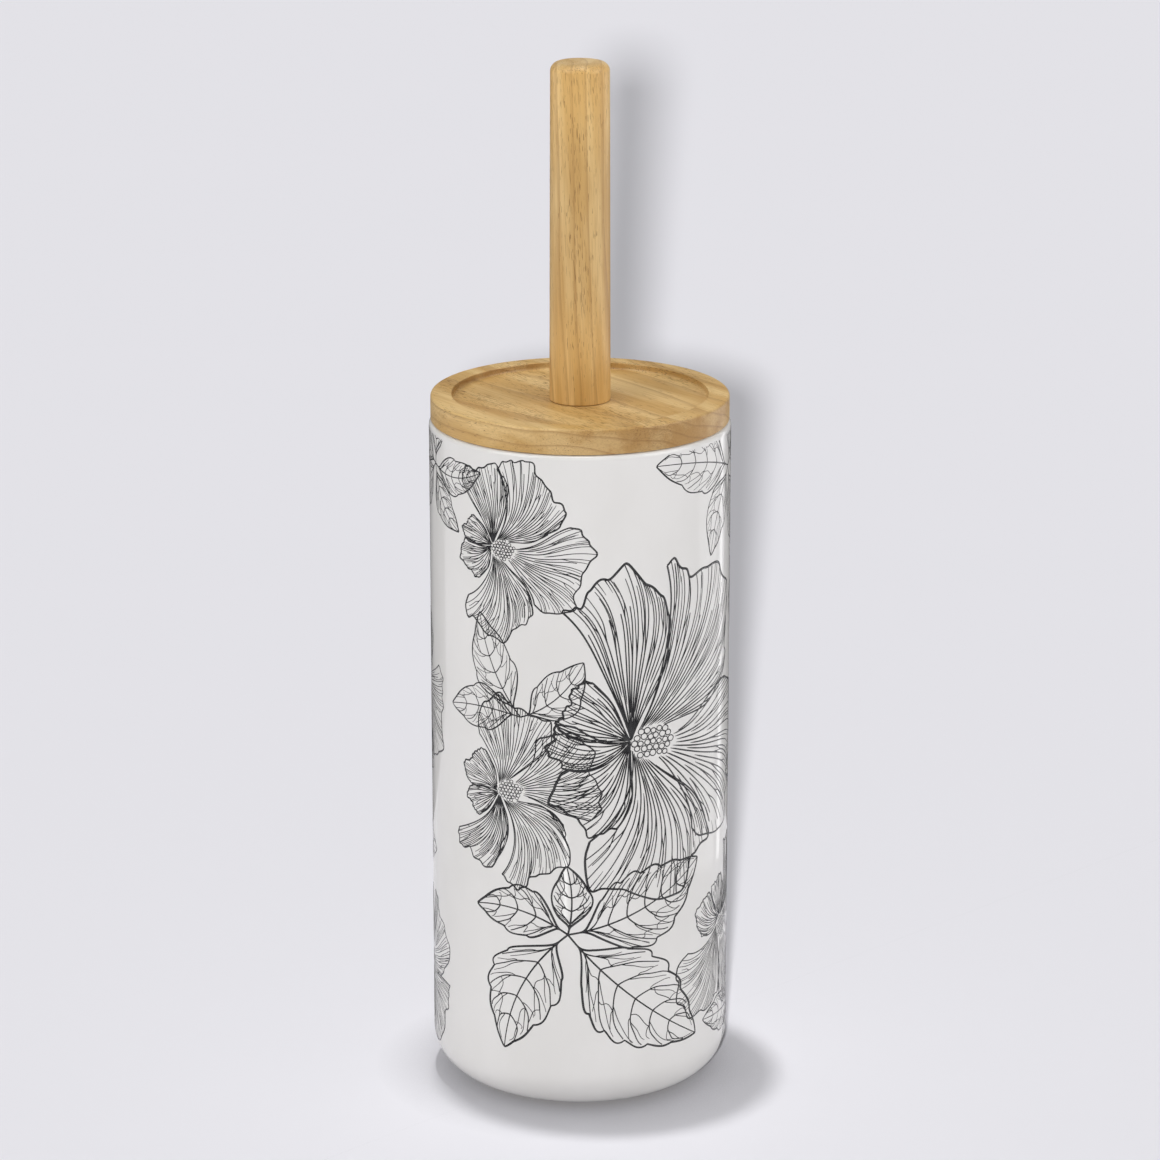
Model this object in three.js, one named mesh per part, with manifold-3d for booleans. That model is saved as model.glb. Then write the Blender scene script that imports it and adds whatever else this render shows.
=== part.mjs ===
// A toilet brush in its glazed ceramic holder: a turned wood lid and handle, a steel rod and a
// screw-on tufted head. Millimetres, +Z up, origin on the floor at the holder's centre.
//
// The holder stands on four soft pads. The lid, handle, rod and head lift out together, and the
// head unscrews from the stud at the rod's lower end.

import * as THREE from "three";
import { mergeVertices } from "three/addons/utils/BufferGeometryUtils.js";
import Module from "manifold-3d";

const wasm = await Module();
wasm.setup();

// ---- Driving dimensions ----------------------------------------------------------------------

// Ceramic holder
const holderRadius = 50;
const holderHeight = 228;
const wall = 5;
const floorThickness = 8;
const outerCornerRadius = 14.5;
const innerCornerRadius = 9.5;
const lipRadius = 1.8;
const footRingWidth = 9;
const footRecessDepth = 1.6;

// Soft pads under the foot ring
const padCount = 4;
const padRadius = 3.8;
const padHeight = 1.2;

// Wood lid
const lidInset = 0.6;
const lidThickness = 8.5;
const lidEdgeRound = 0.9;
const lidRimWidth = 7;
const lidRecessDepth = 2.4;
const lidRecessFillet = 1.2;
const plugDepth = 5;
const plugClearance = 1.2;
const plugChamfer = 1;

// Wood handle
const handleLength = 112.4;
const handleBaseRadius = 10.1;
const handleTopRadius = 9.7;
const handleTopRoundWidth = 3.9;
const handleTopRoundHeight = 3.1;
const handleBaseChamfer = 0.4;

// Threaded parts: the studs are plain cylinders at the thread's outside diameter
const threadRadius = 4;
const threadClearance = 0.3;
const threadLength = 12.5;
const threadChamfer = 0.6;
const insertWall = 1.7;
const insertLength = 16;
const insertEndGap = 1.5;
const studFlangeThickness = 2;
const topFlangeOverhang = 2;
const studShankLength = 16;
const boreEndGap = 1.5;

// Steel rod and the washer under the lid
const rodRadius = 6;
const rodWall = 1;
const lidWasherRadius = 13;
const lidWasherThickness = 1.2;

// Screw-on brush head
const sealOverhang = 0.8;
const sealThickness = 1.6;
const coreRadius = 11;
const neckShoulder = 1.8;
const neckHeight = 6;
const neckChamfer = 0.8;
const skirtRadius = 20;
const skirtDrop = 7;
const skirtThickness = 2;
const rowCount = 9;
const rowPitch = 6.5;
const firstRowDrop = 5.5;
const tuftsPerRow = 12;
const tuftRootRadius = 1.7;
const tuftTipRadius = 2.7;
const bandGap = 0.3;
const bandThickness = 0.9;
const bandHeight = 3.2;
const coreEndRound = 3;
const endDiscRadius = 8;
const endTufts = 6;
const endTuftCircle = 5.4;
const endTuftLean = 0.42;
const endTuftLength = 20;
const bristleWallGap = 8;
const dripGap = 3;

// Gaps between pieces that touch on the real object
const contactGap = 0.1;
const pressGap = 0.1;

// Facets round a full turn
const bigTurn = 64;
const middleTurn = 32;
const smallTurn = 24;

// ---- Radii and heights worked out from the dimensions --------------------------------------------

const holderInnerRadius = holderRadius - wall;
const lidRadius = holderRadius - lidInset;
const threadBore = threadRadius + threadClearance;
const insertRadius = threadBore + insertWall;
const topFlangeRadius = rodRadius + topFlangeOverhang;
const sealRadius = rodRadius + sealOverhang;
const neckRadius = sealRadius + neckShoulder;

const rimTop = padHeight + holderHeight;
const wellFloor = padHeight + floorThickness;

const lidUnderside = rimTop + contactGap;
const lidTop = lidUnderside + lidThickness;
const lidRecessFloor = lidTop - lidRecessDepth;
const plugUnderside = lidUnderside - plugDepth;

const handleBase = lidRecessFloor + contactGap;
const handleTop = handleBase + handleLength;

const washerTop = plugUnderside - contactGap;
const topFlangeTop = washerTop - lidWasherThickness - contactGap;
const rodTop = topFlangeTop - studFlangeThickness - contactGap;

const unscrewTravel = threadLength;
const endTipZ = wellFloor + unscrewTravel + dripGap;
const endTuftDrop = endTuftLength * Math.cos(endTuftLean) + tuftTipRadius * Math.sin(endTuftLean);
const coreBottom = endTipZ + endTuftDrop + contactGap + bandThickness / 2;
const lastRowZ = coreBottom + coreEndRound + bandHeight / 2;
const firstRowZ = lastRowZ + (rowCount - 1) * rowPitch;
const skirtFoot = firstRowZ + firstRowDrop;
const neckFoot = skirtFoot + skirtDrop;
const neckTop = neckFoot + neckHeight;
const sealBottom = neckTop + contactGap;
const bottomFlangeFoot = sealBottom + sealThickness + contactGap;
const rodBottom = bottomFlangeFoot + studFlangeThickness + contactGap;

// ---- Helpers -----------------------------------------------------------------------------------

const wood = new THREE.MeshStandardMaterial({ color: 0xd3ab72, roughness: 0.55 });
const glaze = new THREE.MeshStandardMaterial({ color: 0xe6e4e1, roughness: 0.12 });
const steel = new THREE.MeshStandardMaterial({ color: 0xb9bbbd, roughness: 0.3, metalness: 1 });
const brass = new THREE.MeshStandardMaterial({ color: 0xb8964f, roughness: 0.35, metalness: 1 });
const plastic = new THREE.MeshStandardMaterial({ color: 0xf0f0ee, roughness: 0.4 });
const rubber = new THREE.MeshStandardMaterial({ color: 0x8c8d8f, roughness: 0.8 });
const nylon = new THREE.MeshStandardMaterial({ color: 0xf4f4f2, roughness: 0.6 });

const model = new THREE.Group();

// A profile is a list of [radius, height] points, run anticlockwise, bottom first.
function turned(profile, segments) {
  const points = profile.map(([r, z]) => new THREE.Vector2(r, z));
  return new THREE.LatheGeometry(points, segments).rotateX(Math.PI / 2);
}

// A washer, tube or band: a rectangle turned round the axis.
function ring(inner, outer, bottom, top, segments) {
  const section = [
    [inner, bottom],
    [outer, bottom],
    [outer, top],
    [inner, top],
    [inner, bottom],
  ];
  return turned(section, segments);
}

// Points on an ellipse's arc, the ends included; angles in quarter turns from +radius to +height.
function arc(centreRadius, centreHeight, radiusX, radiusZ, from, to, steps) {
  return Array.from({ length: steps + 1 }, (_, i) => {
    const angle = ((from + ((to - from) * i) / steps) * Math.PI) / 2;
    return [centreRadius + radiusX * Math.cos(angle), centreHeight + radiusZ * Math.sin(angle)];
  });
}

function solidOf(geometry) {
  const bare = geometry.clone().deleteAttribute("normal").deleteAttribute("uv");
  const merged = mergeVertices(bare, 1e-4);
  const mesh = new wasm.Mesh({
    numProp: 3,
    vertProperties: new Float32Array(merged.attributes.position.array),
    triVerts: new Uint32Array(merged.index.array),
  });
  return new wasm.Manifold(mesh);
}

function geometryOf(solid) {
  const { vertProperties, triVerts } = solid.getMesh();
  const geometry = new THREE.BufferGeometry();
  geometry.setAttribute("position", new THREE.BufferAttribute(vertProperties, 3));
  geometry.setIndex(new THREE.BufferAttribute(triVerts, 1));
  geometry.computeVertexNormals();
  return geometry;
}

function add(name, geometry, material) {
  const mesh = new THREE.Mesh(geometry, material);
  mesh.name = name;
  model.add(mesh);
  return mesh;
}

// ---- Holder and its pads -----------------------------------------------------------------------

const flatBaseRadius = holderRadius - outerCornerRadius;

function holder() {
  const base = padHeight;
  const footInner = flatBaseRadius - footRingWidth;
  const profile = [
    [0, base + footRecessDepth],
    [footInner - footRecessDepth, base + footRecessDepth],
    [footInner, base],
    ...arc(flatBaseRadius, base + outerCornerRadius, outerCornerRadius, outerCornerRadius, -1, 0, 8),
    ...arc(holderRadius - lipRadius, rimTop - lipRadius, lipRadius, lipRadius, 0, 1, 3),
    ...arc(holderInnerRadius + lipRadius, rimTop - lipRadius, lipRadius, lipRadius, 1, 2, 3),
    ...arc(
      holderInnerRadius - innerCornerRadius,
      wellFloor + innerCornerRadius,
      innerCornerRadius,
      innerCornerRadius,
      0,
      -1,
      5,
    ),
    [0, wellFloor],
  ];
  add("ceramic_holder", turned(profile, bigTurn), glaze);
}

function footPads() {
  const circle = flatBaseRadius - footRingWidth / 2;
  for (let i = 0; i < padCount; i++) {
    const angle = ((i + 0.5) * 2 * Math.PI) / padCount;
    const height = padHeight - contactGap;
    const pad = new THREE.CylinderGeometry(padRadius, padRadius, height, smallTurn);
    const mesh = add(`foot_pad_${i + 1}`, pad.rotateX(Math.PI / 2), rubber);
    mesh.position.set(circle * Math.cos(angle), circle * Math.sin(angle), height / 2);
  }
}

// ---- Lid and handle ----------------------------------------------------------------------------

function lid() {
  const plugRadius = holderInnerRadius - plugClearance;
  const recessRadius = lidRadius - lidRimWidth;
  const e = lidEdgeRound;
  const f = lidRecessFillet;
  const profile = [
    [threadBore, plugUnderside],
    [plugRadius - plugChamfer, plugUnderside],
    [plugRadius, plugUnderside + plugChamfer],
    [plugRadius, lidUnderside],
    ...arc(lidRadius - e / 2, lidUnderside + e / 2, e / 2, e / 2, -1, 0, 2),
    ...arc(lidRadius - e, lidTop - e, e, e, 0, 1, 3),
    ...arc(recessRadius + e / 2, lidTop - e / 2, e / 2, e / 2, 1, 2, 2),
    ...arc(recessRadius - f, lidRecessFloor + f, f, f, 0, -1, 3),
    [threadBore, lidRecessFloor],
    [threadBore, plugUnderside],
  ];
  add("wood_lid", turned(profile, bigTurn), wood);
}

function handle() {
  const pocketRadius = insertRadius + pressGap;
  const pocketTop = handleBase + insertLength + insertEndGap;
  const roundWidth = handleTopRoundWidth;
  const roundHeight = handleTopRoundHeight;
  const profile = [
    [0, pocketTop],
    [pocketRadius, pocketTop],
    [pocketRadius, handleBase],
    [handleBaseRadius - handleBaseChamfer, handleBase],
    [handleBaseRadius, handleBase + handleBaseChamfer],
    ...arc(handleTopRadius - roundWidth, handleTop - roundHeight, roundWidth, roundHeight, 0, 1, 5),
    [0, handleTop],
  ];
  add("wood_handle", turned(profile, middleTurn), wood);
}

function handleInsert() {
  const bottom = handleBase + contactGap;
  const geometry = ring(threadBore, insertRadius, bottom, bottom + insertLength, smallTurn);
  add("handle_insert", geometry, brass);
}

// ---- Rod, its two studs and the washer under the lid -------------------------------------------

const shankRadius = rodRadius - rodWall - pressGap;

function topStud() {
  const threadTop = handleBase + threadLength;
  const flangeFoot = topFlangeTop - studFlangeThickness;
  const profile = [
    [0, flangeFoot - studShankLength],
    [shankRadius, flangeFoot - studShankLength],
    [shankRadius, flangeFoot],
    [topFlangeRadius, flangeFoot],
    [topFlangeRadius, topFlangeTop],
    [threadRadius, topFlangeTop],
    [threadRadius, threadTop - threadChamfer],
    [threadRadius - threadChamfer, threadTop],
    [0, threadTop],
  ];
  add("top_stud", turned(profile, smallTurn), steel);
}

function lidWasher() {
  const foot = washerTop - lidWasherThickness;
  add("lid_washer", ring(threadBore, lidWasherRadius, foot, washerTop, middleTurn), steel);
}

function rodTube() {
  const geometry = ring(rodRadius - rodWall, rodRadius, rodBottom, rodTop, middleTurn);
  add("rod_tube", geometry, steel);
}

function bottomStud() {
  const flangeTop = bottomFlangeFoot + studFlangeThickness;
  const threadEnd = neckTop - threadLength;
  const profile = [
    [0, threadEnd],
    [threadRadius - threadChamfer, threadEnd],
    [threadRadius, threadEnd + threadChamfer],
    [threadRadius, bottomFlangeFoot],
    [rodRadius, bottomFlangeFoot],
    [rodRadius, flangeTop],
    [shankRadius, flangeTop],
    [shankRadius, flangeTop + studShankLength],
    [0, flangeTop + studShankLength],
  ];
  add("bottom_stud", turned(profile, smallTurn), steel);
}

// ---- Brush head --------------------------------------------------------------------------------

function headSeal() {
  const inner = threadBore + threadClearance;
  add("head_seal", ring(inner, sealRadius, sealBottom, sealBottom + sealThickness, smallTurn), rubber);
}

// The moulded core: a blind threaded bore, a neck, a drip skirt and the barrel that holds the tufts.
function brushCore() {
  const boreFloor = neckTop - threadLength - boreEndGap;
  const profile = [
    [0, coreBottom],
    ...arc(coreRadius - coreEndRound, coreBottom + coreEndRound, coreEndRound, coreEndRound, -1, 0, 3),
    [coreRadius, skirtFoot],
    [skirtRadius - skirtThickness, skirtFoot],
    [skirtRadius, skirtFoot + skirtThickness / 2],
    [skirtRadius, skirtFoot + skirtThickness],
    ...arc(skirtRadius, neckFoot, skirtRadius - neckRadius, skirtDrop - skirtThickness, 3, 2, 4).slice(1),
    [neckRadius, neckTop - neckChamfer],
    [neckRadius - neckChamfer, neckTop],
    [threadBore, neckTop],
    [threadBore, boreFloor],
    [0, boreFloor],
  ];
  add("brush_core", turned(profile, middleTurn), plastic);
}

// One tuft, a tapered hexagonal bundle that runs from the origin along +X.
function tuft(length) {
  const bundle = new THREE.CylinderGeometry(tuftTipRadius, tuftRootRadius, length, 6);
  return bundle.translate(0, length / 2, 0).rotateZ(-Math.PI / 2);
}

// A ring of tufts round the barrel. A thin band joins their roots, where the real ones are stapled
// into the core one by one. Every other row is turned by half a step.
function bristleRow(index, height) {
  const bandInner = coreRadius + bandGap;
  const root = bandInner + bandThickness / 3;
  const tip = holderInnerRadius - bristleWallGap;
  let row = solidOf(ring(bandInner, bandInner + bandThickness, -bandHeight / 2, bandHeight / 2, smallTurn));
  for (let i = 0; i < tuftsPerRow; i++) {
    const angle = ((i + (index % 2) / 2) * 2 * Math.PI) / tuftsPerRow;
    row = row.add(solidOf(tuft(tip - root).translate(root, 0, 0).rotateZ(angle)));
  }
  const mesh = add(`bristle_row_${String(index).padStart(2, "0")}`, geometryOf(row), nylon);
  mesh.position.z = height;
}

// The tufts under the barrel's end, fanned out from a thin disc that joins their roots.
function bristleEnd() {
  const discTop = coreBottom - contactGap;
  const root = discTop - bandThickness / 2;
  const disc = new THREE.CylinderGeometry(endDiscRadius, endDiscRadius, bandThickness, smallTurn);
  let cluster = solidOf(disc.rotateX(Math.PI / 2).translate(0, 0, root));
  const coreSpace = new THREE.CylinderGeometry(coreRadius, coreRadius, 4 * tuftRootRadius, smallTurn);
  const above = solidOf(coreSpace.rotateX(Math.PI / 2).translate(0, 0, discTop + 2 * tuftRootRadius));
  for (let i = 0; i < endTufts; i++) {
    const angle = (i * 2 * Math.PI) / endTufts;
    const bundle = tuft(endTuftLength).rotateY(Math.PI / 2 - endTuftLean);
    cluster = cluster.add(solidOf(bundle.translate(endTuftCircle, 0, root).rotateZ(angle)));
  }
  const middle = tuft(endTuftLength * Math.cos(endTuftLean)).rotateY(Math.PI / 2);
  cluster = cluster.add(solidOf(middle.translate(0, 0, root))).subtract(above);
  add("bristle_end", geometryOf(cluster), nylon);
}

function bristles() {
  for (let i = 0; i < rowCount; i++) {
    bristleRow(i + 1, firstRowZ - i * rowPitch);
  }
  bristleEnd();
}

// ---- The whole object --------------------------------------------------------------------------

holder();
footPads();
lid();
handle();
handleInsert();
topStud();
lidWasher();
rodTube();
bottomStud();
headSeal();
brushCore();
bristles();

export default model;
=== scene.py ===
# %% [markdown]
# # A toilet brush in a printed ceramic holder
#
# The set is a tall glazed pot, a turned wood lid with a wood handle, a steel rod and a screw-on
# head of nylon tufts. The frame gives every part's place and size, so each piece below is made
# where that part already stands, and takes its measures from the part's box.

# %% Load the frame
import random
from math import cos, pi, radians, sin, sqrt, tan

import bmesh
import bpy
import numpy as np
from mathutils import Matrix, Vector


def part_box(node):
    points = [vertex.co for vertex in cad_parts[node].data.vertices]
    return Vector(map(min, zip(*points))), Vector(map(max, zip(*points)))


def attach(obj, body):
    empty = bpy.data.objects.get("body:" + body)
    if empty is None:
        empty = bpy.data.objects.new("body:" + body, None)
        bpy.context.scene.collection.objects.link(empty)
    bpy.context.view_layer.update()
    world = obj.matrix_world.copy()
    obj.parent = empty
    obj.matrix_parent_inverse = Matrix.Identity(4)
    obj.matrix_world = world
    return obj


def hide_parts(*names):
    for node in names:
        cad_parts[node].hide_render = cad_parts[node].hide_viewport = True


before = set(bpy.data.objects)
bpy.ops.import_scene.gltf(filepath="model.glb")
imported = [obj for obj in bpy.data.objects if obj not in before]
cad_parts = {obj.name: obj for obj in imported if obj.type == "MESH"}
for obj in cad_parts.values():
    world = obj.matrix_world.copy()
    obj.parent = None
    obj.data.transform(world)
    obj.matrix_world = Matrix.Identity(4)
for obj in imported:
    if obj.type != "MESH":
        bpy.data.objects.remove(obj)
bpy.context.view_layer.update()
MM = 0.001
TAU = 2 * pi

pot_low, pot_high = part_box("ceramic_holder")
lid_low, lid_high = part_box("wood_lid")
handle_low, handle_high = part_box("wood_handle")
PRINT_THICKNESS = 0.07 * MM
POT_RADIUS = pot_high.x - PRINT_THICKNESS
for name, corners in (("holder", (pot_low, pot_high)), ("lid", (lid_low, lid_high))):
    print(name, "box in mm:", [[round(v / MM, 1) for v in corner] for corner in corners])

# %% [markdown]
# ## The camera
#
# A long lens from a metre and a half away keeps the sides of the pot almost parallel. The camera
# could be turned by hand until it looks right. Here it is placed on an arc round a point at mid
# height, because then its height angle is one plain number.

# %% Camera
CAMERA_DISTANCE = 1.535
CAMERA_ELEVATION = radians(16.5)
CAMERA_TARGET = Vector((0, 0, 0.1731))
LENS_MM = 142.6
SENSOR_MM = 36


def add_object(name, data):
    """A new object, linked into the scene."""
    new = bpy.data.objects.new(name, data)
    bpy.context.scene.collection.objects.link(new)
    return new


camera_data = bpy.data.cameras.new("camera")
camera_data.lens = LENS_MM
camera_data.sensor_width = SENSOR_MM
camera = add_object("camera", camera_data)
camera_arm = Vector((0, -cos(CAMERA_ELEVATION), sin(CAMERA_ELEVATION)))
camera.location = CAMERA_TARGET + CAMERA_DISTANCE * camera_arm
camera.rotation_euler = (-camera_arm).to_track_quat("-Z", "Y").to_euler()
bpy.context.scene.camera = camera
print("camera at", [round(v, 3) for v in camera.location])

# %% [markdown]
# ## Material helpers
#
# A finish is a small tree of nodes. Written out in full, each link takes a line of its own. One
# helper adds a node with its inputs filled or linked, and one starts a material from its shader.
# The rest are the nodes that most finishes need, each in the tree of the socket it is given.

# %% Node helpers
def add_node(tree, kind, inputs=None, **settings):
    """A new node; each input takes either a value or another node's output socket."""
    new = tree.nodes.new("ShaderNode" + kind)
    for key, value in settings.items():
        setattr(new, key, value)
    for key, value in (inputs or {}).items():
        if isinstance(value, bpy.types.NodeSocket):
            tree.links.new(value, new.inputs[key])
        else:
            new.inputs[key].default_value = value
    return new


def new_material(name, **constants):
    """A material whose Principled shader has these constants on its own sockets."""
    material = bpy.data.materials.new(name)
    material.use_nodes = True
    shader = material.node_tree.nodes["Principled BSDF"]
    for key, value in constants.items():
        shader.inputs[key.replace("_", " ")].default_value = value
    print("finish", name)
    return material, material.node_tree, shader


def placed(tree, location=(0, 0, 0), rotation=(0, 0, 0), scale=(1, 1, 1)):
    """Object coordinates, moved, turned and stretched by a Mapping node."""
    coordinates = add_node(tree, "TexCoord").outputs["Object"]
    inputs = {"Vector": coordinates, "Location": location, "Rotation": rotation, "Scale": scale}
    return add_node(tree, "Mapping", inputs).outputs["Vector"]


def noise(vector, scale, detail=2.0, roughness=0.5):
    inputs = {"Vector": vector, "Scale": scale, "Detail": detail, "Roughness": roughness}
    return add_node(vector.id_data, "TexNoise", inputs).outputs["Fac"]


def spread(value, low, high, to_low=0.0, to_high=1.0, kind="SMOOTHSTEP"):
    """Maps low..high onto to_low..to_high, clamped, with soft ends unless told otherwise."""
    inputs = {"Value": value, "From Min": low, "From Max": high}
    inputs.update({"To Min": to_low, "To Max": to_high})
    return add_node(value.id_data, "MapRange", inputs, interpolation_type=kind).outputs["Result"]


def combine(operation, a, b=0):
    """A sum on one or two values, of which at least one is a socket."""
    tree = next(value.id_data for value in (a, b) if isinstance(value, bpy.types.NodeSocket))
    return add_node(tree, "Math", {0: a, 1: b}, operation=operation).outputs["Value"]


def blended(factor, a, b, blend_type="MIX"):
    """Two colours, each a tuple or a socket, mixed by a factor."""
    a, b = ((*colour, 1) if isinstance(colour, tuple) else colour for colour in (a, b))
    inputs = {0: factor, 6: a, 7: b}
    settings = {"data_type": "RGBA", "blend_type": blend_type}
    return add_node(factor.id_data, "Mix", inputs, **settings).outputs[2]


def bumped(height, distance, strength=1.0, normal=None):
    inputs = {"Height": height, "Distance": distance, "Strength": strength}
    if normal:
        inputs["Normal"] = normal
    return add_node(height.id_data, "Bump", inputs).outputs["Normal"]


def wire(shader, **sockets):
    """Links a pattern to each named input of the shader."""
    for key, value in sockets.items():
        shader.id_data.links.new(value, shader.inputs[key.replace("_", " ")])


# %% [markdown]
# ## Turned pieces
#
# Most of the set is turned: the pot on a jigger, the lid, handle, rod and studs on a lathe. A cube
# or cylinder with bevels would give the same outside, but a profile spun round the axis is how the
# real parts are cut, and it gives walls, recesses and rounded lips in one step. The outline holds
# only the corners, each with its own rounding radius.

# %% Turning helpers
MERGE_DISTANCE = 0.002 * MM


def rounded(corners, arc_steps=7):
    """Corner list [(radius, height, rounding)] to points, each rounding drawn as an arc."""
    points = []
    for i, (r, z, rounding) in enumerate(corners):
        here = Vector((r, z))
        if not rounding:
            points.append(here)
            continue
        before = (Vector(corners[i - 1][:2]) - here).normalized()
        after = (Vector(corners[(i + 1) % len(corners)][:2]) - here).normalized()
        half = before.angle(after) / 2
        centre = here + (before + after).normalized() * rounding / sin(half)
        start = here + before * rounding / tan(half) - centre
        end = here + after * rounding / tan(half) - centre
        turn = start.angle_signed(end)
        steps = max(2, round(arc_steps * abs(turn) / (pi / 2)))
        for k in range(steps + 1):
            points.append(centre + start @ Matrix.Rotation(turn * k / steps, 2))
    return points


def object_from(bm, name, material, smooth_angle=radians(35)):
    """Finishes a bmesh: normals out, smooth faces with the sharp corners kept, one material."""
    bmesh.ops.recalc_face_normals(bm, faces=bm.faces)
    mesh = bpy.data.meshes.new(name)
    bm.to_mesh(mesh)
    bm.free()
    mesh.shade_smooth()
    mesh.set_sharp_from_angle(angle=smooth_angle)
    mesh.materials.append(material)
    return add_object(name, mesh)


def spun(corners, steps=96, closed=False, arc_steps=7):
    """Spins an outline round the Z axis. An open outline starts and ends on the axis."""
    bm = bmesh.new()
    verts = [bm.verts.new((p.x, 0, p.y)) for p in rounded(corners, arc_steps)]
    pairs = list(zip(verts, verts[1:])) + ([(verts[-1], verts[0])] if closed else [])
    edges = [bm.edges.new(pair) for pair in pairs]
    bmesh.ops.spin(
        bm, geom=verts + edges, cent=(0, 0, 0), axis=(0, 0, 1),
        angle=TAU, steps=steps, use_merge=True,
    )
    bmesh.ops.remove_doubles(bm, verts=bm.verts, dist=MERGE_DISTANCE)
    return bm


def turned(name, corners, material, steps=96, closed=False, arc_steps=7):
    return object_from(spun(corners, steps, closed, arc_steps), name, material)


def finish_piece(piece, body, slot, *nodes):
    """Rides the piece on its body and hides the CAD nodes it stands in for."""
    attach(piece, body)
    if nodes:
        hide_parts(*nodes)
    print(piece.name, len(piece.data.polygons), "faces on", body)


# %% [markdown]
# ## The glazed pot
#
# The pot is slip-cast earthenware under a thick glossy white glaze. The glaze is smooth but never
# flat: it flows a little before it sets, so reflections waver. The foot ring is wiped clean before
# firing and stays matt and slightly cream. A plain white gloss would look like plastic, so the
# shader adds a slow ripple, a faint uneven tint and the bare foot.

# %% Glaze
WARM_WHITE, PALE_WHITE = (0.780, 0.765, 0.737), (0.815, 0.80, 0.775)
BISQUE_LIGHT, BISQUE_DARK = (0.72, 0.66, 0.56), (0.56, 0.49, 0.40)
BARE_UP_TO = pot_low.z + 0.7 * MM
GLAZED_FROM = pot_low.z + 1.1 * MM
BARE_ROUGHNESS = 0.75

glaze, tree, shader = new_material("glazed_ceramic", Coat_IOR=1.5, IOR=1.5)
cloud = noise(placed(tree, scale=(1, 1, 0.6)), 38, 3)
glaze_colour = blended(spread(cloud, 0.3, 0.7), WARM_WHITE, PALE_WHITE)
height = add_node(tree, "SeparateXYZ", {0: placed(tree)}).outputs["Z"]
ragged = combine("MULTIPLY", noise(placed(tree), 420, 2), 0.5 * MM)
bare = spread(combine("ADD", height, ragged), BARE_UP_TO, GLAZED_FROM, 1, 0)
grit = noise(placed(tree), 2600, 3, 0.7)
bisque = blended(spread(grit, 0.35, 0.7), BISQUE_LIGHT, BISQUE_DARK)
gloss = spread(noise(placed(tree), 90, 2), 0.3, 0.7, 0.055, 0.095)
ripple = bumped(noise(placed(tree, scale=(1, 1, 0.45)), 42, 1), 0.35 * MM, 0.5)
peel = bumped(noise(placed(tree), 520, 1), 0.012 * MM, 0.6, ripple)
wire(
    shader,
    Base_Color=blended(bare, glaze_colour, bisque),
    Roughness=combine("MAXIMUM", gloss, combine("MULTIPLY", bare, BARE_ROUGHNESS)),
    Normal=bumped(combine("MULTIPLY", grit, bare), 0.12 * MM, 0.8, peel),
)

# %% [markdown]
# The pot is one hollow outline: foot ring with a recess inside it, rounded lower corner, straight
# wall, soft lip, and down the inside to the floor. Solidify could give a plain shell its wall, but
# the floor is thicker than the wall, so the inside is drawn too.

# %% Pot
WALL = 5 * MM
FLOOR_THICKNESS = 8 * MM
FOOT_RING_WIDTH = 9 * MM
FOOT_RECESS = 1.6 * MM
OUTER_CORNER = 14.5 * MM
INNER_CORNER = 9.5 * MM
LIP_ROUND = 1.8 * MM

inner_radius = POT_RADIUS - WALL
foot_inner = POT_RADIUS - OUTER_CORNER - FOOT_RING_WIDTH
well_floor = pot_low.z + FLOOR_THICKNESS
pot_outline = [
    (0, pot_low.z + FOOT_RECESS, 0),
    (foot_inner - FOOT_RECESS, pot_low.z + FOOT_RECESS, 0.6 * MM),
    (foot_inner, pot_low.z, 0.5 * MM),
    (POT_RADIUS, pot_low.z, OUTER_CORNER),
    (POT_RADIUS, pot_high.z, LIP_ROUND),
    (inner_radius, pot_high.z, LIP_ROUND),
    (inner_radius, well_floor, INNER_CORNER),
    (0, well_floor, 0),
]
pot = turned("ceramic_pot", pot_outline, glaze, steps=256, arc_steps=12)
finish_piece(pot, "holder", "glazed_ceramic", "ceramic_holder")

# %% [markdown]
# ## The flower print
#
# The decoration is a black line drawing of open flowers and toothed leaves, printed on a transfer
# and fired on the glaze. An image would blur close up and a shader can't draw, so the lines are
# drawn as an illustrator would, pen stroke by pen stroke on a flat sheet, and the sheet is then
# wrapped round the pot. On the sheet x runs round the pot and y up it, in millimetres. A stroke is
# a pair: its points, and the half width of the pen at each one.
#
# A petal is a fan of rays from the flower's throat. One function says where a point lies, from how
# far across the petal it is and how far out, so the frilled rim, the sides and every vein share
# the same bends and stay together.

# %% Petal shape
def soft_step(x):
    x = np.clip(x, 0, 1)
    return x * x * (3 - 2 * x)


def cluster_edge(angle, centre, half):
    """How far out a ray from the throat leaves the oval cluster of anthers."""
    ray = np.array((cos(angle), sin(angle))) / half
    offset = np.array(centre) / half
    a, b, c = ray @ ray, -(ray @ offset), offset @ offset - 1
    inside = b * b - a * c
    return max(0.0, (-b + sqrt(inside)) / a) if inside > 0 else 0.0


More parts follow.
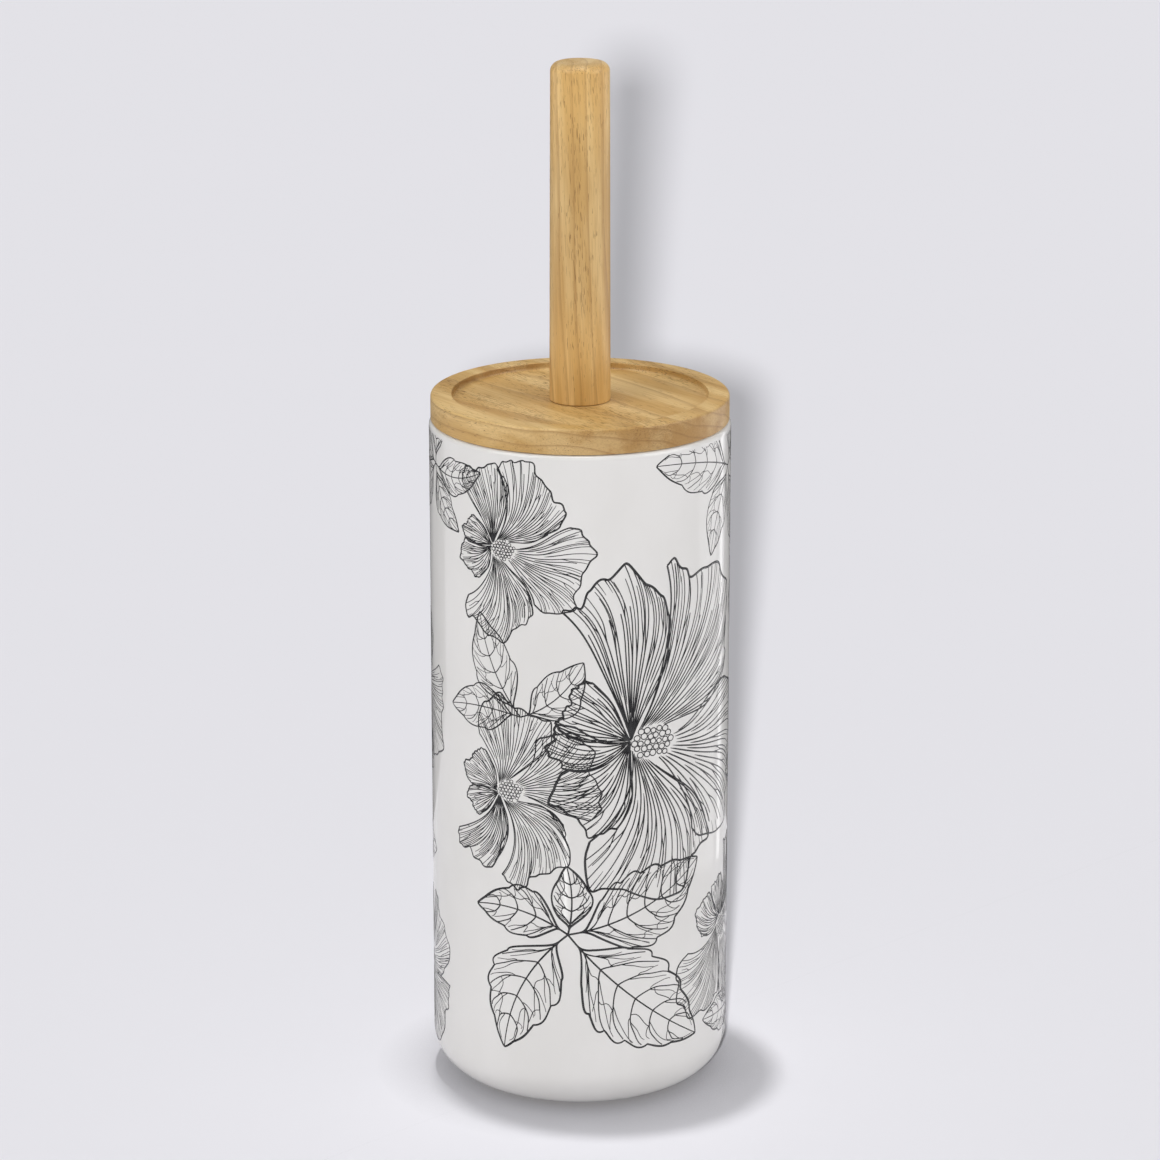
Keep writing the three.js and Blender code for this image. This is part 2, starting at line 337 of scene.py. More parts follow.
def petal_shape(rng, start, end, length, side_share, skew, cluster, twist):
    """A function from (across, outwards), each 0 to 1, to points on the sheet."""
    first, last = radians(start), radians(end)
    waves = [
        (rng.uniform(1.3, 2.0), rng.uniform(0, TAU), 0.055),
        (rng.uniform(3.2, 4.6), rng.uniform(0, TAU), 0.022),
    ]
    frills, phase = rng.uniform(6.5, 9.0) * (last - first), rng.uniform(0, 1)
    curl = rng.uniform(-0.14, 0.14)
    flow = rng.uniform(0.03, 0.07) * rng.choice((-1, 1))
    start_turn = rng.uniform(0, pi)

    def point(across, out):
        middle = (across - 0.5 - skew) / (0.5 + abs(skew))
        rim = out**4
        dome = np.sqrt(np.clip(1 - np.abs(middle) ** 2.3, 0, 1))
        swell = sum(size * np.sin(TAU * count * across + turn) for count, turn, size in waves)
        reach = (side_share + (1 - side_share) * dome) * (1 + rim * swell)
        beat = frills * across + phase
        reach = reach * (1 + rim * 0.013 * np.sin(TAU * beat + 2.0 * np.sin(7 * across)))
        waist = 0.66 + 0.40 * np.sin(pi / 2 * np.minimum(out / 0.8, 1))
        angle = (first + last) / 2 + (last - first) * (across - 0.5) * waist
        angle = angle + curl * out * out
        angle = angle + twist[0] * np.sin(angle + twist[1]) * out * out
        angle = angle + rim * 0.006 * np.cos(TAU * beat)
        angle = angle + flow * np.sin(pi * 1.4 * out + start_turn) * out
        begin = np.array([cluster_edge(a, *cluster) for a in np.atleast_1d(angle)])
        radius = begin + (length * reach - begin) * out
        return np.stack((radius * np.cos(angle), radius * np.sin(angle)), -1)

    return point


# %% [markdown]
# An illustrator draws a petal's rim with a heavy, swelling line, its two sides lighter, and then
# veins from the throat outwards. Most veins fork, and short ticks come in from the rim.

# %% Petal
def petal(rng, shape, vein_gap, pen, cluster, twist):
    """Rim, two sides, and veins that taper, sway and fork towards the rim."""
    start, end, length, side_share, skew = shape
    point = petal_shape(rng, start, end, length, side_share, skew, cluster, twist)
    rim_length = radians(end - start) * length
    across = np.linspace(0, 1, max(50, int(rim_length * 2.2)))
    swell = 0.8 + 0.4 * np.abs(np.sin(2.6 * across + rng.uniform(0, 3)))
    strokes = [(point(across, np.ones_like(across)), pen * swell)]
    for side, inner in ((0, 0.02), (1, 0.10)):
        out = np.linspace(inner, 1, 26)
        strokes.append((point(np.full_like(out, side), out), pen * (0.6 + 0.35 * out)))
    fine = 0.6 * pen
    veins = max(4, int(rim_length / vein_gap))
    for k in range(veins):
        here = (k + 0.5 + rng.uniform(-0.12, 0.12)) / veins
        begin = rng.uniform(0.0, 0.04) if k % 2 else rng.uniform(0.14, 0.42)
        out = np.linspace(begin, rng.choice((1.0, 1.0, 1.0, rng.uniform(0.74, 0.94))), 22)
        wave = np.sin(TAU * out * rng.uniform(0.5, 1.1) + rng.uniform(0, TAU))
        sway = rng.uniform(-0.3, 0.3) / veins * wave * out
        taper = (1.25 - 0.42 * out) * soft_step((out - begin) * 9 + 0.35)
        strokes.append((point(here + sway, out), fine * taper))
        if rng.random() < 0.85:
            side = rng.choice((-1, 1)) * rng.uniform(0.42, 0.58) / veins
            fork = np.linspace(rng.uniform(0.35, 0.78), rng.uniform(0.9, 1.0), 12)
            t = np.linspace(0, 1, 12)
            branch = here + np.interp(fork, out, sway) + side * soft_step(t * 2.2)
            strokes.append((point(branch, fork), fine * (0.95 - 0.35 * t)))
        if rng.random() < 0.40:
            tick = np.linspace(rng.uniform(0.84, 0.93), 1, 5)
            place = np.full(5, (k + rng.uniform(0.8, 1.2)) / veins)
            strokes.append((point(place, tick), fine * np.linspace(0.3, 0.9, 5)))
    return strokes


# %% [markdown]
# The flower's middle is a club of round anthers. Rings packed like coins in an oval read as a club
# at this size, and a little disorder in their place and size keeps it from looking like a grid.

# %% Flowers
def anthers(rng, centre, half, size, pen):
    strokes = []
    rows, columns = int(half[1] / (size * 0.87)) + 1, int(half[0] / size) + 1
    for row in range(-rows, rows + 1):
        for column in range(-columns, columns + 1):
            x = (column + 0.5 * (row % 2) + rng.uniform(-0.1, 0.1)) * size
            y = (row * 0.87 + rng.uniform(-0.1, 0.1)) * size
            radius = size * rng.uniform(0.40, 0.52)
            if (x / half[0]) ** 2 + (y / half[1]) ** 2 > 1:
                continue
            around = np.linspace(0, TAU, 11)
            ring = np.stack((x + radius * np.cos(around), y + radius * 0.93 * np.sin(around)), -1)
            strokes.append((ring + centre, np.full(len(around), pen)))
    return strokes


def flower(seed, petals, pen, vein_gap, cluster, anther_size, twist):
    """Petals are (start, end, length, side share, skew), with angles in degrees from the throat."""
    rng = random.Random(seed)
    strokes = []
    for shape in petals:
        strokes += petal(rng, shape, vein_gap, pen, cluster, twist)
    return strokes + anthers(rng, *cluster, anther_size, pen * 0.5)


LARGE_PETALS = [
    (62, 112, 56, 0.66, 0.05), (112, 178, 26, 0.72, -0.08), (178, 222, 27, 0.72, 0.05),
    (222, 274, 33, 0.70, 0.08), (270, 320, 56, 0.64, 0.08), (-42, 10, 60, 0.70, 0.00),
    (10, 62, 64, 0.62, 0.08),
]
SMALL_PETALS = [
    (64, 118, 28, 0.66, 0.05), (8, 64, 32, 0.66, 0.10), (-42, 8, 35, 0.70, 0.05),
    (-98, -42, 32, 0.68, 0.00), (-172, -98, 16, 0.72, 0.00), (118, 188, 14, 0.72, 0.00),
]


def large_flower(seed):
    return flower(seed, LARGE_PETALS, 0.37, 2.6, ((8, -1), (8, 5.6)), 2.3, (0.28, 0.5))


def small_flower(seed):
    return flower(seed, SMALL_PETALS, 0.25, 1.5, ((4, -1), (4.6, 3.4)), 1.25, (0.30, 0.3))


# %% [markdown]
# A leaf has a toothed edge that grows from a wedge at the stalk to a sharp tip, a midrib, side
# veins that curve forward, and a net of wavering fine veins between them. Its width is one sine
# curve, with a saw laid over it for the teeth.

# %% Leaves
def on_sheet(strokes, degrees=0.0, scale=1.0, move=(0, 0), flip=False):
    """Strokes mirrored, turned, scaled and moved on the sheet."""
    a = radians(degrees)
    turn = np.array(((cos(a), sin(a)), (-sin(a), cos(a)))) * scale
    mirror = np.array((1, -1 if flip else 1))
    return [((points * mirror) @ turn + np.array(move), pen) for points, pen in strokes]


def leaf(rng, length, width, pen, stalk=0.08, vein_reach=0.24):
    bend = rng.uniform(-0.12, 0.12) * length

    def half_width(t):
        t = np.clip((t - stalk) / (1 - stalk), 0, 1)
        return width / 2 * np.sin(pi * t**0.8) ** 0.85 * (1 - np.exp(-((t / 0.13) ** 1.3)))

    def point(t, across):
        return np.stack((length * t, bend * 4 * t * (1 - t) + across), -1)

    t = np.linspace(0, 1, 16)
    strokes = [(point(t, 0 * t), pen * (0.95 - 0.45 * t))]
    for side in (-1, 1):
        teeth, phase = max(3, round(length / 9)) + rng.choice((-1, 0, 1)), rng.uniform(0, 1)
        t = np.linspace(stalk, 1, 90)
        saw = np.sin(pi * ((t * teeth + phase) % 1.0) ** 1.7) ** 0.8
        grow = np.sin(pi * (t - stalk) / (1 - stalk)) ** 0.6
        edge = half_width(t) * (1 + 0.12 * (saw - 0.35) * grow)
        tipped = np.minimum(t + 0.012 * saw * grow, 1)
        strokes.append((point(tipped, side * edge), pen * (0.8 + 0.3 * np.sin(5 * t + phase) ** 2)))
        pairs = max(4, int(length / (width * 0.17 + 4.0)))
        step = (0.86 - stalk) / pairs

        def vein(start, out, waver=0.0):
            reach = vein_reach * (1 - 0.6 * start)
            t = np.minimum(start + reach * out * (0.45 + 0.75 * out), 0.995)
            return point(t, side * (half_width(t) * 0.97 * out**0.9 + waver))

        for k in range(pairs):
            start = stalk + step * (k + 0.35)
            out = np.linspace(0, 1, 14)
            size = rng.uniform(0.15, 0.32) * width / 22
            sway = size * np.sin(TAU * out * rng.uniform(1.3, 2.2) + k) * out
            strokes.append((vein(start, out, sway), pen * (0.72 - 0.22 * out)))
            for lean in (rng.uniform(0.4, 0.65), rng.uniform(-0.5, -0.35)):
                out = np.linspace(rng.uniform(0.15, 0.5), rng.uniform(0.75, 1.0), 12)
                t = np.linspace(0, 1, 12)
                waver = np.interp(out, np.linspace(0, 1, 14), sway)
                waver = waver + 0.02 * width * np.sin(TAU * t + k) * t
                begin = start + lean * step * t**0.7
                strokes.append((vein(begin, out, waver), pen * (0.46 - 0.16 * t)))
            if k + 1 < pairs and rng.random() < 0.75:
                share = np.linspace(0, 1, 8)
                out = rng.uniform(0.3, 0.75) + 0.07 * np.sin(TAU * share * 0.8 + k)
                strokes.append((vein(start + share * step, out), np.full(8, pen * 0.42)))
    return strokes


def sprig(seed, leaves, pen):
    """Leaves round one point, each (direction in degrees, length, width)."""
    rng = random.Random(seed)
    strokes = []
    for direction, length, width in leaves:
        strokes += on_sheet(leaf(rng, length, width, pen), direction)
    return strokes


def broad_sprig(seed):
    return sprig(seed, [(91, 24, 13), (169, 34, 17), (23, 53, 26), (242, 48, 25), (-41, 64, 31)], 0.36)


def light_sprig(seed):
    return sprig(seed, [(115, 37, 16), (182, 30, 15), (43, 29, 15)], 0.26)


def edge_sprig(seed):
    return sprig(seed, [(169, 42, 20), (240, 31, 15), (300, 38, 17), (20, 36, 16), (75, 34, 15)], 0.26)


# %% [markdown]
# The sheet is wrapped like a transfer. Each stroke becomes a round tube, pressed almost flat so
# that it stands a few hundredths of a millimetre proud, and bent round the wall and on under the
# rounded foot. Long runs are first cut into short steps, or their middles would sink into the
# wall, and what would pass the rim is trimmed off.

# %% Ink
INK_BLACK = (0.006, 0.006, 0.007, 1)
ink, _, shader = new_material(
    "print_ink", Roughness=0.16, IOR=1.5, Coat_Weight=0.5, Coat_Roughness=0.08
)
shader.inputs["Base Color"].default_value = INK_BLACK

# %% Transfer
PRINT_TOP = pot_high.z - 2.0 * MM
PRINT_FOOT = 8.5 * MM
LONGEST_STEP = 1.5
PRESSED = 0.12
LIFT = 0.012 * MM


def fine_steps(points, pen):
    """Adds points so that no step is longer than LONGEST_STEP."""
    steps = np.hypot(*np.diff(points, axis=0).T)
    counts = np.maximum(1, np.ceil(steps / LONGEST_STEP)).astype(int)
    at = np.concatenate([i + np.arange(n) / n for i, n in enumerate(counts)] + [[len(steps)]])
    index = np.arange(len(points))
    return np.stack([np.interp(at, index, column) for column in (*points.T, pen)], -1)


def trimmed(strokes):
    """Strokes cut where they leave the printed height, as rows of (x, y, pen)."""
    for points, pen in strokes:
        rows = fine_steps(points, pen)
        inside = (rows[:, 1] * MM < PRINT_TOP) & (rows[:, 1] * MM > PRINT_FOOT)
        for run in np.split(rows, np.flatnonzero(np.diff(inside)) + 1):
            if len(run) > 1 and PRINT_FOOT < run[0, 1] * MM < PRINT_TOP:
                yield run


def wrapped(flat):
    """Sheet coordinates to the pot's wall and, below the wall, round its lower corner."""
    angle = flat[:, 0] / POT_RADIUS
    corner_top = pot_low.z + OUTER_CORNER
    proud = flat[:, 2] * PRESSED + LIFT
    round_corner = np.clip((corner_top - flat[:, 1]) / OUTER_CORNER, 0, None)
    radius = POT_RADIUS - OUTER_CORNER + (OUTER_CORNER + proud) * np.cos(round_corner)
    height = np.maximum(flat[:, 1], corner_top) - (OUTER_CORNER + proud) * np.sin(round_corner)
    return np.stack((radius * np.sin(angle), -radius * np.cos(angle), height), -1)


def tubes(name, runs):
    """A mesh of round tubes; a run is an array of rows (x, y, z, radius), in metres."""
    drawing = bpy.data.curves.new(name, "CURVE")
    drawing.dimensions = "3D"
    drawing.bevel_depth = 1.0
    drawing.bevel_resolution = 0
    drawing.use_fill_caps = True
    for run in runs:
        spline = drawing.splines.new("POLY")
        spline.points.add(len(run) - 1)
        spline.points.foreach_set("co", np.column_stack((run[:, :3], np.ones(len(run)))).ravel())
        spline.points.foreach_set("radius", run[:, 3].copy())
    drawn = add_object(name, drawing)
    depsgraph = bpy.context.evaluated_depsgraph_get()
    mesh = bpy.data.meshes.new_from_object(drawn.evaluated_get(depsgraph))
    bpy.data.objects.remove(drawn)
    return mesh


def object_of(mesh, name, material):
    mesh.materials.clear()
    mesh.materials.append(material)
    mesh.update()
    return add_object(name, mesh)


def transfer(name, strokes):
    """Draws the strokes as tubes on the flat sheet, presses them and wraps them round the pot."""
    runs = [np.insert(run * MM, 2, 0, axis=1) for run in trimmed(strokes)]
    mesh = tubes(name, runs)
    flat = np.empty(len(mesh.vertices) * 3)
    mesh.vertices.foreach_get("co", flat)
    mesh.vertices.foreach_set("co", wrapped(flat.reshape(-1, 3)).ravel())
    finish_piece(object_of(mesh, name, ink), "holder", "print_ink")


# %% [markdown]
# The layout: each motif with its seed, its turn in degrees, its scale, the place of its middle on
# the sheet, and True where it is mirrored. One large flower leads on the front, and the rest fill
# the wall at about the same density all the way round.

# %% Print layout
MOTIFS = [
    (large_flower, 3, 0, 1.0, (17, 132)),
    (small_flower, 5, 0, 0.95, (-30, 197)),
    (small_flower, 8, 0, 1.0, (-28, 113), True),
    (broad_sprig, 4, 0, 1.0, (-4, 65.6)),
    (light_sprig, 6, 0, 1.0, (-20, 140)),
    (edge_sprig, 7, 0, 1.0, (67, 216)),
    (edge_sprig, 9, 25, 0.75, (-62, 218), True),
    (small_flower, 12, 10, 1.05, (-93, 136)),
    (light_sprig, 14, 170, 0.9, (-92, 86)),
    (small_flower, 15, -25, 0.95, (-84, 42)),
    (small_flower, 16, -50, 1.05, (61, 60)),
    (light_sprig, 17, 60, 0.85, (80, 24)),
    (broad_sprig, 21, 150, 0.85, (112, 104)),
    (small_flower, 22, 120, 1.1, (108, 170)),
    (large_flower, 23, 200, 0.95, (158, 128), True),
    (small_flower, 24, 30, 1.0, (140, 206)),
    (edge_sprig, 25, 100, 0.9, (-118, 205)),
    (broad_sprig, 26, 20, 0.85, (-128, 64), True),
    (small_flower, 27, 160, 1.05, (135, 46)),
    (light_sprig, 28, 250, 1.0, (172, 34)),
]

for number, (motif, seed, *placing) in enumerate(MOTIFS, 1):
    transfer(f"print_{number:02d}_{motif.__name__}", on_sheet(motif(seed), *placing))

# %% [markdown]
# ## The wood
#
# Lid and handle are rubberwood, a pale honey hardwood with wide open pores. Cut along the grain
# the pores show as short dark dashes, and cut across it, as dots. Noise that fills the piece and
# is drawn out along the grain gives both. Growth rings are cylinders round a pith line that lies
# outside the piece.

# %% Grain
END_GRAIN = "end_grain"
LID_GRAIN = Vector((0.615, -0.788, 0.02))
HANDLE_GRAIN = Vector((-0.05, 0.02, 1))


def mark_end_grain(piece, grain):
    """Stores how squarely each face cuts the grain, from 0 along it to 1 straight across."""
    across = [abs(face.normal @ grain.normalized()) ** 2 for face in piece.data.polygons]
    piece.data.attributes.new(END_GRAIN, "FLOAT", "FACE").data.foreach_set("value", across)
    print(piece.name, "faces across the grain:", sum(share > 0.5 for share in across))


def drawn_out(space, along, scale, detail=2.0, roughness=0.5):
    """Noise stretched along Z; along is how fast it still changes that way."""
    stretched = add_node(space.id_data, "Mapping", {"Vector": space, "Scale": (1, 1, along)})
    return noise(stretched.outputs["Vector"], scale, detail, roughness)


def layer(colour, mask, share, other):
    """Lets a share of another colour show where the mask is 1."""
    return blended(combine("MULTIPLY", mask, share), colour, other)


# %% [markdown]
# The colour comes in layers: a slow figure from pale to honey, a browner band late in each year's
# ring, fine fibres, and dark pores that crowd in places. End grain soaks up more oil, so on the lid
# a face that cuts the grain squarely gets a darker tint of its own. On the handle that tint is paler
# and bluer instead: a painted highlight on its top end.

# %% Wood shader
RING_GAP = 4.6 * MM
RING_WAVER = 14 * MM
GROOVE_DEPTH = 0.09 * MM


def wood(name, grain, pith, tint, pore_depth, end_tint_and_highlight, painted_light_span=None):
    """Rubberwood with its grain along a direction; pith is where the tree's middle lay, in metres.

    The last argument, if given, holds four heights along the grain where a darker middle fades in and
    out: painted shade, so that the ends read lighter, as if lit."""
    material, tree, shader = new_material(
        name, Specular_IOR_Level=0.35, Coat_Weight=0.12, Coat_Roughness=0.28
    )
    turn = Vector(grain).rotation_difference(Vector((0, 0, 1))).to_euler()
    along = placed(tree, rotation=turn, location=pith)
    parts = add_node(tree, "SeparateXYZ", {0: along}).outputs
    flat = add_node(tree, "CombineXYZ", {"X": parts["X"], "Y": parts["Y"]}).outputs[0]
    distance = add_node(tree, "VectorMath", {0: flat}, operation="LENGTH").outputs["Value"]
    drift = combine("MULTIPLY", drawn_out(along, 0.18, 26), RING_WAVER)
    year = combine("DIVIDE", combine("ADD", distance, drift), RING_GAP)
    late = spread(combine("FRACT", year), 0.74, 0.98)
    figure = drawn_out(along, 0.10, 105, 3, 0.55)
    fibre = drawn_out(along, 0.022, 2100, 3, 0.6)
    crowd = spread(drawn_out(along, 0.12, 60, 1), 0.35, 0.68, 0.79, 0.645)
    pores = combine("SUBTRACT", drawn_out(along, 0.06, 4600, 0), crowd)
    pore = spread(pores, 0.0, 0.03)
    pale, honey, brown, dark = tint
    colour = blended(spread(figure, 0.38, 0.62), pale, honey)
    colour = layer(colour, late, 0.48, brown)
    colour = layer(colour, spread(fibre, 0.42, 0.72), 0.32, brown)
    colour = layer(colour, pore, pore_depth, dark)
    # Painted light: the handle's middle is painted darker, so its foot, which the lid shades, and its
    # top read lighter.
    if painted_light_span:
        fade_in = spread(parts["Z"], *painted_light_span[:2])
        fade_out = spread(parts["Z"], *painted_light_span[2:], 1, 0)
        painted_middle_shade = combine("MULTIPLY", fade_in, fade_out)
        colour = blended(painted_middle_shade, colour, PAINTED_SHADE_TINT, "MULTIPLY")
    # On the handle the end-grain tint is a painted highlight: its top end is painted paler and bluer.
    end = add_node(tree, "Attribute", attribute_name=END_GRAIN).outputs["Fac"]
    rough = spread(fibre, 0.3, 0.7, 0.36, 0.46)
    grooves = combine("SUBTRACT", combine("MULTIPLY", fibre, 0.25), pore)
    wire(
        shader,
        Base_Color=blended(end, colour, end_tint_and_highlight, "MULTIPLY"),
        Roughness=combine("ADD", rough, combine("MULTIPLY", pore, 0.3)),
        Normal=bumped(grooves, GROOVE_DEPTH, 0.7),
    )
    return material


# %% [markdown]
# Lid and handle are cut from different boards. The handle's is lighter, with shallow pores, and its
# middle is painted a little darker between its ends, so that its foot, which the lid shades, and its
# top read lighter: painted light.

# %% Two boards
RUBBERWOOD = [
    (0.80, 0.56, 0.245), (0.64, 0.395, 0.133), (0.42, 0.225, 0.070), (0.20, 0.090, 0.028),
]
# Painted shade for the handle's middle, so that its ends read as lit.
PAINTED_SHADE_TINT = (0.81, 0.80, 0.80)
LID_PITH, HANDLE_PITH = (0.055, 0.035, 0), (0.021, 0.012, 0)
# The lid's end tint is end grain soaked darker; the handle's is a painted highlight on its top.
LID_END_TINT, HANDLE_TOP_PAINTED_HIGHLIGHT = (0.72, 0.66, 0.62), (0.91, 0.98, 1.22)


def board(brightness):
    """Pale, honey, brown and pore colours of one board."""
    return [tuple(brightness * c for c in colour) for colour in RUBBERWOOD]


# Where the handle's middle is painted darker: painted shade that leaves its foot and top looking lit.
handle_painted_light_span = [
    handle_low.z + 5 * MM, handle_low.z + 48 * MM, handle_high.z - 42 * MM, handle_high.z - 6 * MM,
]
lid_wood = wood("lid_rubberwood", LID_GRAIN, LID_PITH, board(0.95), 0.8, LID_END_TINT)
handle_wood = wood(
    "handle_rubberwood", HANDLE_GRAIN, HANDLE_PITH, board(1.12), 0.55, HANDLE_TOP_PAINTED_HIGHLIGHT, handle_painted_light_span
)

# %% [markdown]
# ## Lid and handle
#
# The lid is one disc with a raised rim, a shallow dish and a plug that drops into the pot. The
# handle is a stick that narrows a little towards a rounded shoulder. Both edges are softened by
# sanding, so each corner of the outline has a small rounding of its own.

# %% Lid
RIM_WIDTH = 7 * MM
DISH_DEPTH = 2.4 * MM
PLUG_DEPTH = 5 * MM
PLUG_CLEARANCE = 1.2 * MM
STUD_HOLE = 4.3 * MM

lid_radius = lid_high.x
lid_underside = lid_low.z + PLUG_DEPTH
plug_radius = inner_radius - PLUG_CLEARANCE
dish_floor = lid_high.z - DISH_DEPTH
lid_outline = [
    (STUD_HOLE, lid_low.z, 0),
    (plug_radius, lid_low.z, 1.0 * MM),
    (plug_radius, lid_underside, 0.3 * MM),
    (lid_radius, lid_underside, 0.45 * MM),
    (lid_radius, lid_high.z, 0.9 * MM),
    (lid_radius - RIM_WIDTH, lid_high.z, 0.3 * MM),
    (lid_radius - RIM_WIDTH, dish_floor, 1.0 * MM),
    (STUD_HOLE, dish_floor, 0),
]
lid = turned("turned_lid", lid_outline, lid_wood, steps=192, closed=True)
mark_end_grain(lid, LID_GRAIN)
finish_piece(lid, "brush", "lid_wood", "wood_lid")

# %% Handle
HANDLE_TOP_RADIUS = 9.7 * MM
SHOULDER = 3.0 * MM
POCKET_RADIUS = 6.1 * MM
POCKET_DEPTH = 17.5 * MM

pocket_top = handle_low.z + POCKET_DEPTH
handle_outline = [
    (0, pocket_top, 0),
    (POCKET_RADIUS, pocket_top, 0.3 * MM),
    (POCKET_RADIUS, handle_low.z, 0),
    (handle_high.x, handle_low.z, 0.4 * MM),
    (HANDLE_TOP_RADIUS, handle_high.z, SHOULDER),
    (0, handle_high.z, 0),
]
handle = turned("turned_handle", handle_outline, handle_wood, steps=128, arc_steps=10)
mark_end_grain(handle, HANDLE_GRAIN)
finish_piece(handle, "brush", "handle_wood", "wood_handle")

# %% [markdown]
# ## Metal
#
# The rod is satin stainless tube, the studs are zinc-bright turned steel and the insert is brass.
# All three are bare metal, so colour comes from the metal itself and the finish from its scratches.
# A lathe leaves fine rings round the axis, which is noise that changes fast along Z and hardly at
# all across it.

# %% Metals
def metal(name, colour, rough, ring_depth):
    """Bare turned metal with fine rings, handling scuffs and a slight unevenness of shine."""
    material, tree, shader = new_material(name, Metallic=1.0)
    rings = noise(placed(tree, scale=(0.02, 0.02, 1)), 9000, 3, 0.7)
    scuffs = noise(placed(tree, scale=(1, 1, 0.12)), 700, 3, 0.6)
    dull = tuple(0.82 * c for c in colour)
    scuffed = spread(scuffs, 0.3, 0.8, rough, rough + 0.14)
    wire(
        shader,
        Base_Color=blended(spread(scuffs, 0.42, 0.75), colour, dull),
        Roughness=combine("ADD", scuffed, spread(rings, 0.3, 0.7, 0, 0.06)),
        Normal=bumped(rings, ring_depth, 0.5),
    )
    return material


rod_steel = metal("satin_stainless", (0.60, 0.595, 0.585), 0.24, 0.006 * MM)
stud_steel = metal("zinc_bright_steel", (0.66, 0.67, 0.69), 0.30, 0.012 * MM)
brass = metal("turned_brass", (0.78, 0.57, 0.25), 0.28, 0.012 * MM)

# %% [markdown]
# ## Rod, studs, washer and insert
#
# The rod is a thin tube with a stud pressed into each end. The upper stud clamps the lid between
# its flange and the handle, over a washer, and screws into a brass insert in the wood. The lower
# stud holds the brush head. A bump map would do for a thread that is never seen from close by,
# but the head unscrews, so the thread is real: a triangle spun round the axis while it rises one
# pitch a turn.

# %% Threads
THREAD_PITCH = 2.0 * MM
THREAD_DEPTH = 1.1 * MM
THREAD_STEPS = 32


def add_thread(bm, bottom, top, major, depth=THREAD_DEPTH, pitch=THREAD_PITCH):
    """A closed helical ridge from bottom to top, its foot sunk a little into the core."""
    root, foot, crest = major - depth - 0.15 * MM, 0.42 * pitch, 0.07 * pitch
    start = bottom + foot
    turns = (top - bottom - 2 * foot) / pitch
    steps = round(turns * THREAD_STEPS)
    ridge = (root, -foot), (major, -crest), (major, crest), (root, foot)
    face = bm.faces.new([bm.verts.new((r, 0, start + z)) for r, z in ridge])
    bmesh.ops.spin(
        bm, geom=[face, *face.edges, *face.verts], cent=(0, 0, 0), axis=(0, 0, 1),
        dvec=(0, 0, turns * pitch / steps), angle=turns * TAU, steps=steps,
    )


# %% [markdown]
# Both studs are turned from bar to one outline: a plain shank that sits in the tube, a flange, and
# the core of the thread with a bevelled end.

# %% Studs
FLANGE = 2.0 * MM
SHANK_RADIUS = 4.9 * MM
SHANK_LENGTH = 16 * MM
THREAD_RADIUS = 4.0 * MM
THREAD_CHAMFER = 0.6 * MM
core_radius = THREAD_RADIUS - THREAD_DEPTH


def stud(name, flange_radius, flange_face, thread_end, facing):
    """A threaded stud; facing is 1 where the thread points up and -1 where it points down."""
    flange_back = flange_face - facing * FLANGE
    shank_end = flange_back - facing * SHANK_LENGTH
    corners = [
        (0, shank_end, 0),
        (SHANK_RADIUS, shank_end, 0.5 * MM),
        (SHANK_RADIUS, flange_back, 0),
        (flange_radius, flange_back, 0.25 * MM),
        (flange_radius, flange_face, 0.25 * MM),
        (core_radius, flange_face, 0),
        (core_radius, thread_end, THREAD_CHAMFER),
        (0, thread_end, 0),
    ]
    bm = spun(corners, steps=64, arc_steps=4)
    low, high = sorted((flange_face, thread_end - facing * 0.5 * MM))
    add_thread(bm, low, high, THREAD_RADIUS)
    piece = object_from(bm, "turned_" + name, stud_steel)
    finish_piece(piece, "brush", "stud_steel", name)


top_low, top_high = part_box("top_stud")
bottom_low, bottom_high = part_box("bottom_stud")
stud("top_stud", top_high.x, top_low.z + SHANK_LENGTH + FLANGE, top_high.z, 1)
stud("bottom_stud", bottom_high.x, bottom_high.z - SHANK_LENGTH - FLANGE, bottom_low.z, -1)

# %% [markdown]
# The washer and the tube are plain rings that take their sizes from the frame. The insert has a
# coarser thread outside, made to bite into wood.

# %% Washer, rod and insert
def ring_outline(inner, outer, low, high, rounding):
    """A rectangle between two radii and two heights, with all its corners softened."""
    return [(r, z, rounding) for r, z in ((inner, low), (outer, low), (outer, high), (inner, high))]


def turned_ring(name, inner, rounding, material, slot, body="brush", steps=96):
    """A plain ring with softened edges that stands for a CAD node and takes its size from it."""
    low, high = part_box(name)
    corners = ring_outline(inner, high.x, low.z, high.z, rounding)
    piece = turned("turned_" + name, corners, material, steps=steps, closed=True, arc_steps=4)
    finish_piece(piece, body, slot, name)


ROD_WALL = 1.0 * MM
turned_ring("lid_washer", STUD_HOLE, 0.3 * MM, stud_steel, "stud_steel")
turned_ring("rod_tube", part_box("rod_tube")[1].x - ROD_WALL, 0.25 * MM, rod_steel, "rod_steel")

INSERT_DEPTH = 0.7 * MM
INSERT_PITCH = 2.6 * MM
low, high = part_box("handle_insert")
insert_outline = ring_outline(STUD_HOLE, high.x - INSERT_DEPTH, low.z, high.z, 0.3 * MM)
bm = spun(insert_outline, steps=64, closed=True, arc_steps=3)
add_thread(bm, low.z + 1 * MM, high.z - 0.5 * MM, high.x, INSERT_DEPTH, INSERT_PITCH)
insert = object_from(bm, "threaded_insert", brass)
finish_piece(insert, "brush", "insert_brass", "handle_insert")

# %% [markdown]
# ## Seal, core and pads
#
# A rubber ring closes the joint between rod and head. The core is one moulding: a neck with the
# threaded bore, a skirt that makes water drip off before it reaches the hand, and the barrel that
# holds the tufts. Rubber and plastic differ mostly in their surface: rubber has a fine dry grain,
# and moulded plastic a faint skin like orange peel.

